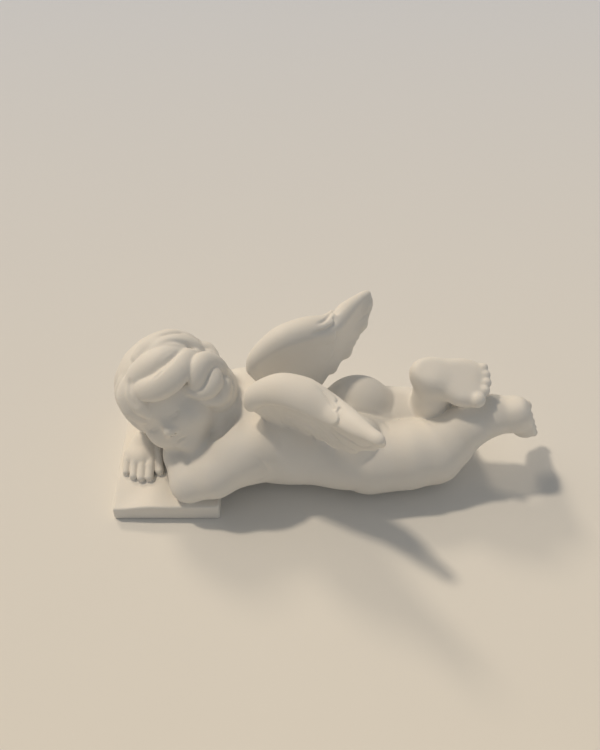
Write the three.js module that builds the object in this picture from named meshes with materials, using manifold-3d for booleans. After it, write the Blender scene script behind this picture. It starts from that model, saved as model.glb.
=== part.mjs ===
// A bisque porcelain cherub lying on its front, chin on its folded arms, with a small slab under the arms.
// Millimetres, +Z up. The floor is z = 0, the head points to -X, the feet to +X and the face to -Y.
// The figure is pressed together from round shapes in a grid of distances, as clay is, then meshed,
// thinned to few triangles, cut flat underneath and joined to its slab: one casting, one solid.

import * as THREE from "three";
import { mergeVertices } from "three/addons/utils/BufferGeometryUtils.js";
import { edgeTable, triTable } from "three/addons/objects/MarchingCubes.js";
import Module from "manifold-3d";

// Driving dimensions
const FIGURE_LENGTH = 146; // from the slab's end to the far heel
const SLAB_LENGTH = 36;
const SLAB_WIDTH = 54;
const SLAB_HEIGHT = 6.6;
const SLAB_CORNER = 1.6; // radius of the slab's corners, seen from above
const SLAB_BEVEL = 0.7; // softening of its edges
const WING_SPAN = 70; // tip to tip
const FEATHER_THICKNESS = 2.6;

// The mesh of the figure
const GRID_STEP = 1.0; // grid of distances, in shares
const FIGURE_TRIANGLES = 8600;

// The free form is written in shares: 146ths of the figure's length
const SHARES_IN_LENGTH = 146;
const SHARE = FIGURE_LENGTH / SHARES_IN_LENGTH;
const SLAB_LEFT = -72.6 * SHARE; // the slab's end and its front edge, from the origin of the form
const SLAB_FRONT = -25 * SHARE;
const SLAB_TOP = SLAB_HEIGHT / SHARE;
const HALF_SPAN = WING_SPAN / 2 / SHARE;
const FEATHER_RADIUS = FEATHER_THICKNESS / 2 / SHARE;

// Vectors are plain triples

const add = (a, b) => [a[0] + b[0], a[1] + b[1], a[2] + b[2]];
const sub = (a, b) => [a[0] - b[0], a[1] - b[1], a[2] - b[2]];
const times = (a, s) => [a[0] * s, a[1] * s, a[2] * s];
const dot = (a, b) => a[0] * b[0] + a[1] * b[1] + a[2] * b[2];
const cross = (a, b) => [a[1] * b[2] - a[2] * b[1], a[2] * b[0] - a[0] * b[2], a[0] * b[1] - a[1] * b[0]];
const size = (a) => Math.sqrt(dot(a, a));
const unit = (a) => times(a, 1 / size(a));
const mix = (a, b, t) => add(times(a, 1 - t), times(b, t));

/** Three directions at right angles: the first as given, the second as near to its own as can be. */
function directions(first, second) {
  const a = unit(first);
  const b = unit(sub(second, times(a, dot(second, a))));
  return [a, b, cross(a, b)];
}

/** Points along a smooth curve through the given ones. */
function curve(points, steps) {
  const ends = [sub(times(points[0], 2), points[1]), sub(times(points.at(-1), 2), points.at(-2))];
  const p = [ends[0], ...points, ends[1]];
  const path = [];
  for (let i = 1; i < p.length - 2; i++) {
    for (let s = 0; s < steps; s++) {
      const t = s / steps;
      const point = [0, 1, 2].map((k) => {
        const [a, b, c, d] = [p[i - 1][k], p[i][k], p[i + 1][k], p[i + 2][k]];
        const bend = (2 * a - 5 * b + 4 * c - d) * t * t + (3 * b - a - 3 * c + d) * t ** 3;
        return 0.5 * (2 * b + (c - a) * t + bend);
      });
      path.push(point);
    }
  }
  path.push(p.at(-2));
  return path;
}

/** The value at t from 0 to 1 on a line through evenly spaced values. */
function along(values, t) {
  const place = Math.min(Math.max(t, 0), 1) * (values.length - 1);
  const i = Math.min(Math.floor(place), values.length - 2);
  return values[i] + (values[i + 1] - values[i]) * (place - i);
}

// Shapes: each has a box and a distance, negative inside

const WORLD = [[1, 0, 0], [0, 1, 0], [0, 0, 1]];

/** An ellipsoid with half sizes along three directions. */
function oval(centre, radii, axes = WORLD) {
  const reach = [0, 1, 2].map((k) => Math.hypot(...axes.map((a, i) => a[k] * radii[i])));
  const distance = (x, y, z) => {
    const d = [x - centre[0], y - centre[1], z - centre[2]];
    let near = 0;
    let slope = 0;
    for (let i = 0; i < 3; i++) {
      const q = dot(d, axes[i]) / radii[i];
      near += q * q;
      slope += (q / radii[i]) ** 2;
    }
    const k = Math.sqrt(near);
    return (k * (k - 1)) / (Math.sqrt(slope) + 1e-9);
  };
  return { lo: sub(centre, reach), hi: add(centre, reach), distance };
}

function ball(centre, radius) {
  return oval(centre, [radius, radius, radius]);
}

/** A round cone from a to b, thinned to the share flat of its thickness along the direction thin. */
function limb(a, b, ra, rb, thin = null, flat = 1) {
  const d = sub(b, a);
  const long = Math.max(dot(d, d), 1e-9);
  const squeeze = 1 / flat ** 2 - 1;
  const distance = (x, y, z) => {
    const p = [x - a[0], y - a[1], z - a[2]];
    const t = Math.min(Math.max(dot(p, d) / long, 0), 1);
    const q = sub(p, times(d, t));
    const r = ra + (rb - ra) * t;
    if (!thin) return size(q) - r;
    const h = dot(q, thin);
    return ((Math.sqrt(dot(q, q) + squeeze * h * h) - r) * (flat + 1)) / 2;
  };
  const lo = [0, 1, 2].map((k) => Math.min(a[k] - ra, b[k] - rb));
  const hi = [0, 1, 2].map((k) => Math.max(a[k] + ra, b[k] + rb));
  return { lo, hi, distance };
}

/** A rope of round cones along a smooth curve; thin gives the flat direction at a point. */
function strand(points, radii, { thin = null, flat = 1, steps = 4 } = {}) {
  const path = curve(points, steps);
  const radius = (i) => along(radii, i / (path.length - 1));
  const link = (i) => limb(path[i], path[i + 1], radius(i), radius(i + 1), thin && thin(path[i]), flat);
  return path.slice(1).map((_, i) => link(i));
}

/** The smaller of two distances, rounded over the width k where they are alike. */
function softMin(a, b, k) {
  if (k <= 0) return Math.min(a, b);
  const h = Math.max(k - Math.abs(a - b), 0) / k;
  return Math.min(a, b) - (h * h * k) / 4;
}

/** A grid of distances into which shapes are pressed. */
class Clay {
  constructor(lo, hi, step) {
    this.step = step;
    this.from = lo.map((v) => Math.floor(v / step));
    this.count = hi.map((v, k) => Math.ceil(v / step) - this.from[k] + 1);
    this.field = new Float32Array(this.count[0] * this.count[1] * this.count[2]).fill(30);
  }

  place(k, i) {
    return (this.from[k] + i) * this.step;
  }

  /** Calls visit with the index and the place of every grid point in a box. */
  each(lo, hi, pad, visit) {
    const first = lo.map((v, k) => Math.max(Math.floor((v - pad) / this.step) - this.from[k], 0));
    const last = hi.map((v, k) => {
      return Math.min(Math.ceil((v + pad) / this.step) - this.from[k], this.count[k] - 1);
    });
    for (let i = first[0]; i <= last[0]; i++) {
      for (let j = first[1]; j <= last[1]; j++) {
        let index = (i * this.count[1] + j) * this.count[2] + first[2];
        for (let k = first[2]; k <= last[2]; k++) {
          visit(index, this.place(0, i), this.place(1, j), this.place(2, k));
          index += 1;
        }
      }
    }
  }

  /** Presses a shape on, with a fillet of the width k. */
  add(shape, k) {
    this.each(shape.lo, shape.hi, k + 3 * this.step, (i, x, y, z) => {
      this.field[i] = softMin(this.field[i], shape.distance(x, y, z), k);
    });
  }

  /** Cuts a shape away, with a softened rim. */
  cut(shape, k) {
    this.each(shape.lo, shape.hi, k + 3 * this.step, (i, x, y, z) => {
      this.field[i] = -softMin(-this.field[i], shape.distance(x, y, z), k);
    });
  }

  /** Joins shapes by the fillet inner, pares them to a plane if one is given, and presses them on. */
  group(shapes, inner, k, pare = null) {
    const lo = [0, 1, 2].map((c) => Math.min(...shapes.map((s) => s.lo[c])));
    const hi = [0, 1, 2].map((c) => Math.max(...shapes.map((s) => s.hi[c])));
    const pad = k + 3 * this.step;
    const own = new Clay(lo.map((v) => v - pad), hi.map((v) => v + pad), this.step);
    for (const shape of shapes) own.add(shape, inner);
    if (pare) {
      own.each(lo, hi, pad, (i, x, y, z) => {
        const above = dot(sub([x, y, z], pare.point), pare.out);
        own.field[i] = -softMin(-own.field[i], -above, pare.rounding);
      });
    }
    own.each(lo, hi, pad, (i, x, y, z) => {
      const cell = [x, y, z].map((v, c) => Math.round(v / this.step) - this.from[c]);
      if (cell.some((v, c) => v < 0 || v >= this.count[c])) return;
      const index = (cell[0] * this.count[1] + cell[1]) * this.count[2] + cell[2];
      this.field[index] = softMin(this.field[index], own.field[i], k);
    });
  }
}

// The body

function torso(clay) {
  clay.add(oval([-19, 0, 16.5], [19, 18.5, 15.5]), 0);
  clay.add(oval([-2, 0, 13.5], [22, 18, 12.5]), 8);
  clay.add(oval([9, 0, 13], [15, 19.8, 12]), 8);
  for (const side of [-1, 1]) clay.add(ball([-29, side * 13.5, 20.4], 9), 6);
  clay.add(limb([-28, 2, 21], add(HEAD, [7, 0, -3]), 10, 8.5), 4);
  const buttocks = [oval([9, -8.4, 18.7], [9.6, 9.2, 12.6]), oval([10.5, 9.2, 17.8], [13, 10.2, 13.8])];
  clay.group(buttocks, 0.6, 1.8);
}

const FAR_ANKLE = [34.5, 4.8, 36];
const NEAR_ANKLE = [61.5, -0.3, 25.6];

/** Places down each leg, with the radius there. */
const NEAR_LEG = [
  { at: [14, -8.8, 12.4], r: 12.2 },
  { at: [27, -7.2, 12.8], r: 12 },
  { at: [36, -5.6, 12.8], r: 11.4 },
  { at: [40.5, -4.2, 16], r: 9.8 },
  { at: [47, -2.2, 22.2], r: 8.1 },
  { at: [55, -0.6, 25.4], r: 7 },
  { at: NEAR_ANKLE, r: 6.2 },
];
const FAR_THIGH = [
  { at: [15, 10, 12.6], r: 11.8 },
  { at: [28, 9.5, 12], r: 11.5 },
  { at: [37.5, 8.5, 11.2], r: 10.8 },
];
const FAR_SHANK = [
  { at: [37.5, 9.5, 12], r: 9 },
  { at: [36.4, 7.6, 21], r: 7.9 },
  { at: [35.4, 6, 29.5], r: 6.6 },
  { at: FAR_ANKLE, r: 6 },
];

/** Limbs from each place to the next one. */
function chain(places) {
  return places.slice(1).map((to, i) => limb(places[i].at, to.at, places[i].r, to.r));
}

function legs(clay) {
  clay.group(chain(FAR_THIGH), 1, 2.5);
  clay.group(chain(FAR_SHANK), 1, 1);
  clay.group(chain(NEAR_LEG), 1, 0.8);
}

/** A foot at its ankle: the ways to its toes, out of its sole and to its big toe, and a share of full size. */
function foot(clay, ankle, toes, sole, inward, scale) {
  const [ahead, out] = directions(toes, sole);
  let across = cross(ahead, out);
  if (dot(across, inward) < 0) across = times(across, -1);
  const axes = [ahead, across, out];
  const at = (x, y, z) => {
    const way = add(add(times(ahead, x), times(across, y)), times(out, z));
    return add(ankle, times(way, scale));
  };
  const lump = (x, y, z, radii) => oval(at(x, y, z), radii.map((r) => r * scale), axes);
  const pads = [
    lump(-2.4, -1.6, 2.4, [6.6, 5.2, 6.4]),
    lump(3.2, -1.4, 2.2, [9, 5.6, 6.2]),
    lump(8.8, 2.2, 2.6, [7.2, 5.6, 5.4]),
    lump(8.8, -3.2, 2.6, [7.2, 5, 5.2]),
  ];
  clay.group(pads, 2.5, 3, { point: at(0, 0, 6.3), out, rounding: 1.6 });
  const toeTips = [
    { x: 13.4, y: 5.6, r: 2.6 },
    { x: 15.3, y: 2.2, r: 1.9 },
    { x: 15.7, y: -0.6, r: 1.8 },
    { x: 15.3, y: -3.2, r: 1.7 },
    { x: 14.4, y: -5.6, r: 1.6 },
  ];
  const toe = ({ x, y, r }) => [
    limb(at(x - 5, y * 0.95, 3.8), at(x - 1.4, y, 3.7), r * 0.8 * scale, r * 0.86 * scale),
    ball(at(x, y, 4.6), r * scale),
  ];
  clay.group(toeTips.flatMap(toe), 0.7, 0.9);
}

function arms(clay) {
  const t = SLAB_TOP;
  clay.add(limb([-27, -12.5, 19.5], [-38, -18.2, t + 8.6], 8.8, 7.2), 5);
  clay.add(limb([-38, -18.2, t + 8.6], [-46.5, -19, t + 5.2], 7.2, 6), 3);
  clay.add(limb([-34, -12, t + 11.9], [-48, -13, t + 6], 7.5, 5.4), 3);
  clay.add(limb([-46.5, -19, t + 5.2], [-50.6, -8, t + 6.6], 6, 5.2), 2.5);
  clay.add(limb([-50.6, -8, t + 6.6], [-54, 4, t + 8], 5.3, 4.6), 2.5);
  clay.add(limb([-29, 14.5, 20], [-44, 21, t + 7.4], 8.6, 7.2), 4);
  clay.add(limb([-44, 21, t + 7.4], [-54, 22, t + 5.2], 7.2, 5.8), 3);
  clay.add(limb([-54, 22, t + 4.8], [-61, 9, t + 4.6], 5.8, 4.8), 2.5);
  clay.add(limb([-61, 9, t + 4.6], [-64, 1, t + 4], 4.8, 4), 2.5);
}

/** The hand that shows, palm down on the slab, four fingers and the thumb. */
function hand(clay) {
  const t = SLAB_TOP;
  clay.add(oval([-65, -3, t + 3], [5.2, 6, 3]), 2);
  const tips = [-10.6, -12.4, -13.2, -13];
  const fingers = tips.flatMap((y, i) => {
    const x = -69.6 + i * 2.75;
    const r = 1.3 + i * 0.09;
    const knuckle = [x, y + 4, t + 2.3];
    return [limb([x, -4, t + 2.8], knuckle, r * 1.1, r), limb(knuckle, [x, y, t + 0.9], r, r * 0.95)];
  });
  const thumbJoint = [-58.6, -6, t + 2.2];
  fingers.push(limb([-59.6, -1, t + 3], thumbJoint, 2, 1.5));
  fingers.push(limb(thumbJoint, [-58, -10.4, t + 1.2], 1.5, 1.55));
  clay.group(fingers, 0.25, 0.8);
}

// The head: its directions are its right, its crown and out of its face

const HEAD = [-52, 3.6, SLAB_TOP + 22.9];
const [FACE, CROWN, RIGHT] = directions([-0.22, -0.93, 0.28], [-0.645, 0.355, 0.678]);
const HEAD_AXES = [RIGHT, CROWN, FACE];

/** A point of the head: a to its right, b to its crown, c out of its face. */
function inHead(a, b, c) {
  return add(HEAD, add(add(times(RIGHT, a), times(CROWN, b)), times(FACE, c)));
}

function head(clay) {
  const lump = (a, b, c, radii) => oval(inHead(a, b, c), radii, HEAD_AXES);
  const skull = [lump(0, 2, -1, [14.5, 15.5, 15.5]), lump(0, -6, 4, [11, 10, 10])];
  skull.push(lump(0, -13, 9.4, [3.8, 3.8, 3.8]));
  for (const side of [-1, 1]) skull.push(lump(side * 6, -5.5, 7.5, [5.8, 6, 6]));
  clay.group(skull, 4, 2.5);
  for (const side of [-1, 1]) {
    clay.cut(lump(side * 4.9, -0.4, 15.6, [3.2, 2.1, 2.2]), 2);
    clay.add(lump(side * 4.8, -0.9, 11.2, [2.7, 2.2, 2.3]), 0.5);
  }
  const bridge = inHead(0, -3.6, 14.2);
  const nose = [limb(inHead(0, 1, 12.4), bridge, 1.5, 1.5), limb(bridge, inHead(0, -5.3, 15.2), 1.5, 1.8)];
  for (const side of [-1, 1]) nose.push(ball(inHead(side * 1.8, -5.8, 13.9), 1.25));
  clay.group(nose, 1, 1.2);
  const lips = [-1, 1].map((side) => lump(side * 1.3, -8.9, 12.9, [1.9, 0.8, 1.1]));
  lips.push(lump(0, -10.3, 12.5, [2.3, 0.9, 1.2]));
  clay.group(lips, 0.5, 0.7);
}

const HAIR_MIDDLE = [0, 3.5, -3];
const HAIR_RADII = [16.8, 18.6, 17.6];

/** A place on the hair: degrees turned from the face to the right, degrees down from the crown, and lift. */
function onHair(turn, fall, lift) {
  const [t, f] = [turn, fall].map((v) => (v * Math.PI) / 180);
  const out = [Math.sin(f) * Math.sin(t), Math.cos(f), Math.sin(f) * Math.cos(t)];
  return inHead(...out.map((v, k) => HAIR_MIDDLE[k] + (HAIR_RADII[k] + lift) * v));
}

/** Locks of hair as curves of turn, fall and lift, from root to tip, with the radius along them. */
const LOCKS = [
  // swept over the top from the parting
  {
    path: [[-112, 76, 0], [-100, 62, 0], [-84, 48, 0.3], [-62, 38, 0], [-30, 34, -1]],
    radii: [2.2, 3.6, 4.4, 4.4, 3],
  },
  {
    path: [[-98, 78, 0], [-78, 64, 0], [-60, 55, 0.3], [-38, 50, 0], [-12, 50, -0.6], [6, 56, -1]],
    radii: [2, 3.4, 4.2, 4.6, 4.2, 3],
  },
  // down over the temple
  { path: [[30, 46, -1.6], [42, 57, -1.2], [46, 69, -1.2], [43, 82, -1.4]], radii: [3, 3.6, 3.4, 2.4] },
  { path: [[10, 52, -0.5], [20, 63, 0.3], [23, 75, 0.3], [21, 90, -0.5]], radii: [3, 3.8, 3.6, 2.2] },
  { path: [[-3, 54, 0], [4, 66, 0.8], [6, 78, 0.6], [8, 89, -0.4]], radii: [2.6, 3, 2.8, 1.8] },
  // the small bun behind the parting, and the thick roll over the brow
  { path: [[-110, 80, 0], [-118, 88, 0.8], [-114, 98, 0]], radii: [2.4, 3, 2.4] },
  {
    path: [
      [-100, 84, 0], [-82, 79, 0.8], [-66, 77, 1.4], [-52, 77, 1.8],
      [-38, 77, 2], [-25, 75, 1.8], [-14, 70, 1.2], [-7, 65, 0.3],
    ],
    radii: [2.2, 3, 3.8, 4.4, 4.5, 4.2, 3.6, 2.6],
  },
  // comma curls from the nape up to the parting: a round head and a tail that sweeps forward
  {
    path: [[-112, 112, 0], [-99, 121, 2], [-92, 128, 3], [-83, 133, 3.2], [-73, 132, 2.6], [-64, 127, 1.4]],
    radii: [2.6, 3.8, 4.3, 4, 3.2, 2],
  },
  {
    path: [[-104, 101, 0], [-91, 109, 1.8], [-84, 116, 2.4], [-76, 122, 2.4], [-66, 122, 1.8], [-56, 114, 0.6]],
    radii: [2.6, 3.8, 4.3, 4, 3.2, 2],
  },
  {
    path: [[-96, 92, 0], [-84, 97, 1.6], [-77, 103, 2.4], [-70, 109, 2.4], [-60, 108, 1.6], [-50, 98, 0]],
    radii: [2.6, 3.8, 4.3, 4, 3.2, 2],
  },
  {
    path: [[-104, 106, 0], [-97, 96, 1.4], [-84, 88, 2.4], [-71, 85, 2.6], [-62, 89, 2], [-54, 98, 0.4]],
    radii: [2.2, 3.2, 3.8, 4.2, 3.8, 2.2],
  },
];
const STRANDS = 13;

function hair(clay) {
  clay.group([oval(inHead(...HAIR_MIDDLE), HAIR_RADII, HEAD_AXES)], 0, 0.8);
  const nape = [oval(inHead(-8, -5, -8), [10, 11, 8], HEAD_AXES)];
  nape.push(oval(inHead(7, -5, -8), [9, 10, 9], HEAD_AXES));
  clay.group(nape, 2, 3);
  const middle = inHead(...HAIR_MIDDLE);
  const outward = (point) => unit(sub(point, middle));
  for (const { path, radii } of LOCKS) {
    clay.group(strand(path.map((p) => onHair(...p)), radii, { thin: outward, flat: 0.75 }), 0.5, 0.5);
  }
  // combed strands over the back of the head, from the crown to the nape
  for (let i = 0; i < STRANDS; i++) {
    const turn = 62 + (180 * i) / (STRANDS - 1);
    const path = [16, 44, 72, 98, 122].map((fall) => onHair(turn - 0.12 * (fall - 70), fall, -0.5));
    clay.group(strand(path, [1.4, 3, 3.6, 3.2, 2], { thin: outward, flat: 0.55 }), 0.4, 0.5);
  }
}

// The wings: a thick leading edge, and feathers that fan out from it

const LEADING_EDGE = [
  { at: [-25.2, 8, 38], r: 2.2 },
  { at: [-23, 8.6, 43.4], r: 3.3 },
  { at: [-15.5, 11.2, 48.5], r: 4.7 },
  { at: [-7, 14.8, 48.9], r: 5 },
  { at: [0, 19, 47.4], r: 4.2 },
  { at: [6, 25.8, 48.9], r: 3 },
  { at: [11.2, 31.6, 50.2], r: 1.5 },
  { at: [13.8, 34, 50.6], r: 1 },
];
const TRAILING_EDGE = [
  [-20, 7.5, 32], [-16.5, 7.4, 29.5], [-12, 7.5, 27.2], [-6, 10.5, 27.3], [-1.5, 13.7, 27.6],
  [3, 18.6, 29.7], [8, 23, 33], [13.2, 28.7, 42.2], [14, 32.8, 48.5],
];
const SPAN_IN_SHARES = 35.2;
const WINGS_OVER = 0.3; // the middle between the wings lies this far to the side
const WINGS_UP = 0.2;
const FEATHERS = 8;
const COVERTS = 3;

/** The wing on one side: its tip droops; its leading edge is rolled over unless the web under it is full. */
function wing(clay, side, droop, fullness) {
  const root = LEADING_EDGE[0].at[1];
  const spread = (HALF_SPAN - root) / (SPAN_IN_SHARES - root);
  const placed = ([x, y, z]) => {
    const low = droop * ((y - root) / (HALF_SPAN - root)) ** 5;
    return [x, side * (root + (y - root) * spread) + WINGS_OVER, z + WINGS_UP - low];
  };
  const lead = curve(LEADING_EDGE.map(({ at }) => placed(at)), 6);
  const trail = curve(TRAILING_EDGE.map(placed), 6);
  const radii = LEADING_EDGE.map(({ r }) => r);
  /** A point of the wing: s from its root to its tip, t from its leading to its trailing edge. */
  const inWing = (s, t) => {
    const edge = (path) => [0, 1, 2].map((k) => along(path.map((p) => p[k]), s));
    return mix(edge(lead), edge(trail), t);
  };
  const outwards = sub(inWing(0.6, 0.5), inWing(0.3, 0.5));
  const backwards = sub(inWing(0.5, 0.8), inWing(0.5, 0.3));
  const faceOn = unit(cross(outwards, backwards));
  const facing = () => faceOn;

  // flight feathers, each a long flat leaf that ends just past the trailing edge
  const leaves = [];
  for (let i = 0; i < FEATHERS; i++) {
    const s = i / (FEATHERS - 1);
    const path = [inWing(0.1 + 0.72 * s, 0.2), inWing(0.09 + 0.82 * s, 0.6), inWing(0.06 + 0.92 * s, 0.95)];
    const wide = 4.2 - 1.8 * s;
    leaves.push(...strand(path, [wide, wide, wide * 0.8], { thin: facing, flat: FEATHER_RADIUS / wide }));
  }
  clay.group(leaves, 0.3, 1.5);

  // the web under the feathers, and the leading edge rolled over it
  const ribs = 40;
  const web = [];
  for (let i = 0; i <= ribs; i++) {
    const s = i / ribs;
    const r = along(radii, s);
    const sunk = times([0, side * 1.25, 1.1], (1 - fullness) * r);
    web.push(limb(sub(inWing(s, 0), sunk), inWing(s, 0.93), fullness * r, FEATHER_RADIUS * 0.8));
  }
  clay.group(web, 1.2, 1.2);
  if (fullness < 1) {
    const over = unit([-0.1, side * 0.5, 0.86]);
    const roll = lead.filter((_, i) => i % 3 === 0);
    const rollRadii = roll.map((_, i) => along(radii, i / (roll.length - 1)));
    clay.group(strand(roll, rollRadii, { thin: () => over, flat: 0.62 }), 1, 1);
  }

  // the short feathers that cover the roots of the long ones, ending in rounded scallops
  const covers = [];
  for (let i = 0; i < COVERTS; i++) {
    const t = 0.12 + 0.3 * i;
    const end = inWing(0.6 - 0.05 * i, t + 0.06);
    covers.push(limb(inWing(0.3, t), end, 4.4 - 0.5 * i, 3 - 0.2 * i, faceOn, 0.62));
  }
  clay.group(covers, 0.8, 0.5);
}

function figure() {
  const clay = new Clay([-80, -44, -3], [84, 46, 60], GRID_STEP);
  torso(clay);
  legs(clay);
  foot(clay, add(FAR_ANKLE, [1, 0, 0]), [1, -0.11, -0.1], [-0.1, -0.42, 0.9], [0, -1, 0], 1.02);
  foot(clay, add(NEAR_ANKLE, [1.2, 1.4, -1]), [0.36, 0.38, -0.8], [0.88, -0.02, 0.5], [0, 1, 0], 0.88);
  arms(clay);
  hand(clay);
  head(clay);
  hair(clay);
  wing(clay, -1, 0, 0.72);
  wing(clay, 1, 1.4, 1);
  return clay;
}

// From the grid of distances to triangles

const CORNERS = [[0, 0, 0], [1, 0, 0], [1, 1, 0], [0, 1, 0], [0, 0, 1], [1, 0, 1], [1, 1, 1], [0, 1, 1]];
const EDGES = [
  [0, 1], [1, 2], [3, 2], [0, 3], [4, 5], [5, 6], [7, 6], [4, 7], [0, 4], [1, 5], [2, 6], [3, 7],
];
const EDGE_MARGIN = 0.08; // keeps a corner off the grid's own points, so no triangle is a sliver

/** Marching cubes: points on the grid's edges, and triangles facing out. */
function skin(clay) {
  const [nx, ny, nz] = clay.count;
  const stride = [ny * nz, nz, 1];
  const known = new Int32Array(3 * nx * ny * nz).fill(-1);
  const points = [];
  const faces = [];
  const pointOn = (i, j, k, edge) => {
    const [a, b] = EDGES[edge].map((corner) => CORNERS[corner]);
    const axis = b.findIndex((v, c) => v !== a[c]);
    const cell = [i + a[0], j + a[1], k + a[2]];
    const index = dot(cell, stride);
    const key = 3 * index + axis;
    if (known[key] < 0) {
      const d0 = clay.field[index];
      const d1 = clay.field[index + stride[axis]];
      const t = Math.min(Math.max(d0 / (d0 - d1), EDGE_MARGIN), 1 - EDGE_MARGIN);
      cell[axis] += t;
      known[key] = points.length;
      points.push(cell.map((v, c) => clay.place(c, v) * SHARE));
    }
    return known[key];
  };
  for (let i = 0; i < nx - 1; i++) {
    for (let j = 0; j < ny - 1; j++) {
      for (let k = 0; k < nz - 1; k++) {
        const base = i * stride[0] + j * stride[1] + k;
        let code = 0;
        CORNERS.forEach((c, bit) => {
          if (clay.field[base + dot(c, stride)] < 0) code |= 1 << bit;
        });
        if (!edgeTable[code]) continue;
        for (let n = 16 * code; triTable[n] >= 0; n += 3) {
          faces.push([2, 1, 0].map((c) => pointOn(i, j, k, triTable[n + c])));
        }
      }
    }
  }
  return { points, faces };
}

/** A queue that gives back its cheapest entry first. */
class Queue {
  constructor() {
    this.items = [];
  }

  push(item) {
    const list = this.items;
    let i = list.length;
    list.push(item);
    while (i > 0) {
      const up = (i - 1) >> 1;
      if (list[up].cost <= item.cost) break;
      list[i] = list[up];
      i = up;
    }
    list[i] = item;
  }

  pop() {
    const list = this.items;
    const top = list[0];
    const last = list.pop();
    if (!list.length) return top;
    let i = 0;
    for (;;) {
      let down = 2 * i + 1;
      if (down >= list.length) break;
      if (down + 1 < list.length && list[down + 1].cost < list[down].cost) down += 1;
      if (list[down].cost >= last.cost) break;
      list[i] = list[down];
      i = down;
    }
    list[i] = last;
    return top;
  }
}

const EVENNESS = 0.004; // how much a corner holds on to its own place, against holding on to its faces
const LEAST_SHAPE = 0.12; // 1 is an equal-sided triangle, 0 a sliver
const LEAST_AGREEMENT = 0.35; // cosine of the most that a face may turn
const MOST_NEIGHBOURS = 11;

/** Ten numbers: the squared distance from the planes of the faces around a corner. */
function planeErrors(points, faces) {
  const errors = points.map(() => new Float64Array(10));
  for (const face of faces) {
    const [a, b, c] = face.map((i) => points[i]);
    const n = cross(sub(b, a), sub(c, a));
    const area = size(n) / 2;
    const [x, y, z] = unit(n);
    const w = -dot([x, y, z], a);
    const plane = [x * x, x * y, x * z, x * w, y * y, y * z, y * w, z * z, z * w, w * w];
    for (const i of face) {
      const p = points[i];
      const hold = [1, 0, 0, -p[0], 1, 0, -p[1], 1, -p[2], dot(p, p)];
      for (let k = 0; k < 10; k++) errors[i][k] += area * (plane[k] + EVENNESS * hold[k]);
    }
  }
  return errors;
}

function errorAt(q, [x, y, z]) {
  const squares = q[0] * x * x + q[4] * y * y + q[7] * z * z + q[9];
  return squares + 2 * (q[1] * x * y + q[2] * x * z + q[3] * x + q[5] * y * z + q[6] * y + q[8] * z);
}

/** The place with the least error. */
function bestPlace(q) {
  const rows = [[q[0], q[1], q[2]], [q[1], q[4], q[5]], [q[2], q[5], q[7]]];
  const right = [-q[3], -q[6], -q[8]];
  const whole = dot(rows[0], cross(rows[1], rows[2]));
  const solved = [0, 1, 2].map((k) => {
    const m = rows.map((row, i) => row.map((v, j) => (j === k ? right[i] : v)));
    return dot(m[0], cross(m[1], m[2])) / whole;
  });
  return solved;
}

/** Draws corners together, cheapest first, until few triangles are left and the skin is still closed. */
function thin({ points, faces }, wanted) {
  const errors = planeErrors(points, faces);
  const around = points.map(() => new Set());
  faces.forEach((face, f) => face.forEach((i) => around[i].add(f)));
  const version = new Int32Array(points.length);
  const queue = new Queue();

  const neighbours = (i) => {
    const found = new Set();
    for (const f of around[i]) for (const j of faces[f]) if (j !== i) found.add(j);
    return found;
  };
  const offer = (i, j) => {
    const sum = errors[i].map((v, k) => v + errors[j][k]);
    const place = bestPlace(sum);
    queue.push({ cost: errorAt(sum, place), i, j, place, sum, seen: version[i] + version[j] });
  };
  const faceAfter = (f, moved, place) => faces[f].map((i) => (moved.includes(i) ? place : points[i]));
  const keepsShape = (i, j, place) => {
    for (const f of new Set([...around[i], ...around[j]])) {
      if (faces[f].includes(i) && faces[f].includes(j)) continue;
      const [a, b, c] = faces[f].map((k) => points[k]);
      const [p, q, r] = faceAfter(f, [i, j], place);
      const before = cross(sub(b, a), sub(c, a));
      const after = cross(sub(q, p), sub(r, p));
      if (dot(before, after) < LEAST_AGREEMENT * size(before) * size(after)) return false;
      const sides = [sub(q, p), sub(r, q), sub(p, r)].reduce((total, side) => total + dot(side, side), 0);
      if (2 * Math.sqrt(3) * size(after) < LEAST_SHAPE * sides) return false;
    }
    return true;
  };

  points.forEach((_, i) => neighbours(i).forEach((j) => i < j && offer(i, j)));
  let left = faces.length;
  while (left > wanted && queue.items.length) {
    const { i, j, place, sum, seen } = queue.pop();
    if (seen !== version[i] + version[j] || !around[i].size || !around[j].size) continue;
    const [ni, nj] = [neighbours(i), neighbours(j)];
    if (!ni.has(j)) continue;
    const shared = [...ni].filter((k) => nj.has(k));
    if (shared.length !== 2 || ni.size + nj.size - 4 > MOST_NEIGHBOURS) continue;
    if (!keepsShape(i, j, place)) continue;
    for (const f of [...around[j]]) {
      if (faces[f].includes(i)) {
        for (const k of faces[f]) around[k].delete(f);
        faces[f] = null;
        left -= 1;
      } else {
        faces[f] = faces[f].map((k) => (k === j ? i : k));
        around[i].add(f);
      }
    }
    around[j].clear();
    points[i] = place;
    errors[i] = sum;
    version[i] += 1;
    version[j] += 1;
    for (const k of neighbours(i)) offer(i, k);
  }
  return { points, faces: faces.filter(Boolean) };
}

function geometryOf({ points, faces }) {
  const geometry = new THREE.BufferGeometry();
  geometry.setAttribute("position", new THREE.Float32BufferAttribute(points.flat(), 3));
  geometry.setIndex(faces.flat());
  return geometry;
}

// Joining and cutting

const wasm = await Module();
wasm.setup();

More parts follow.
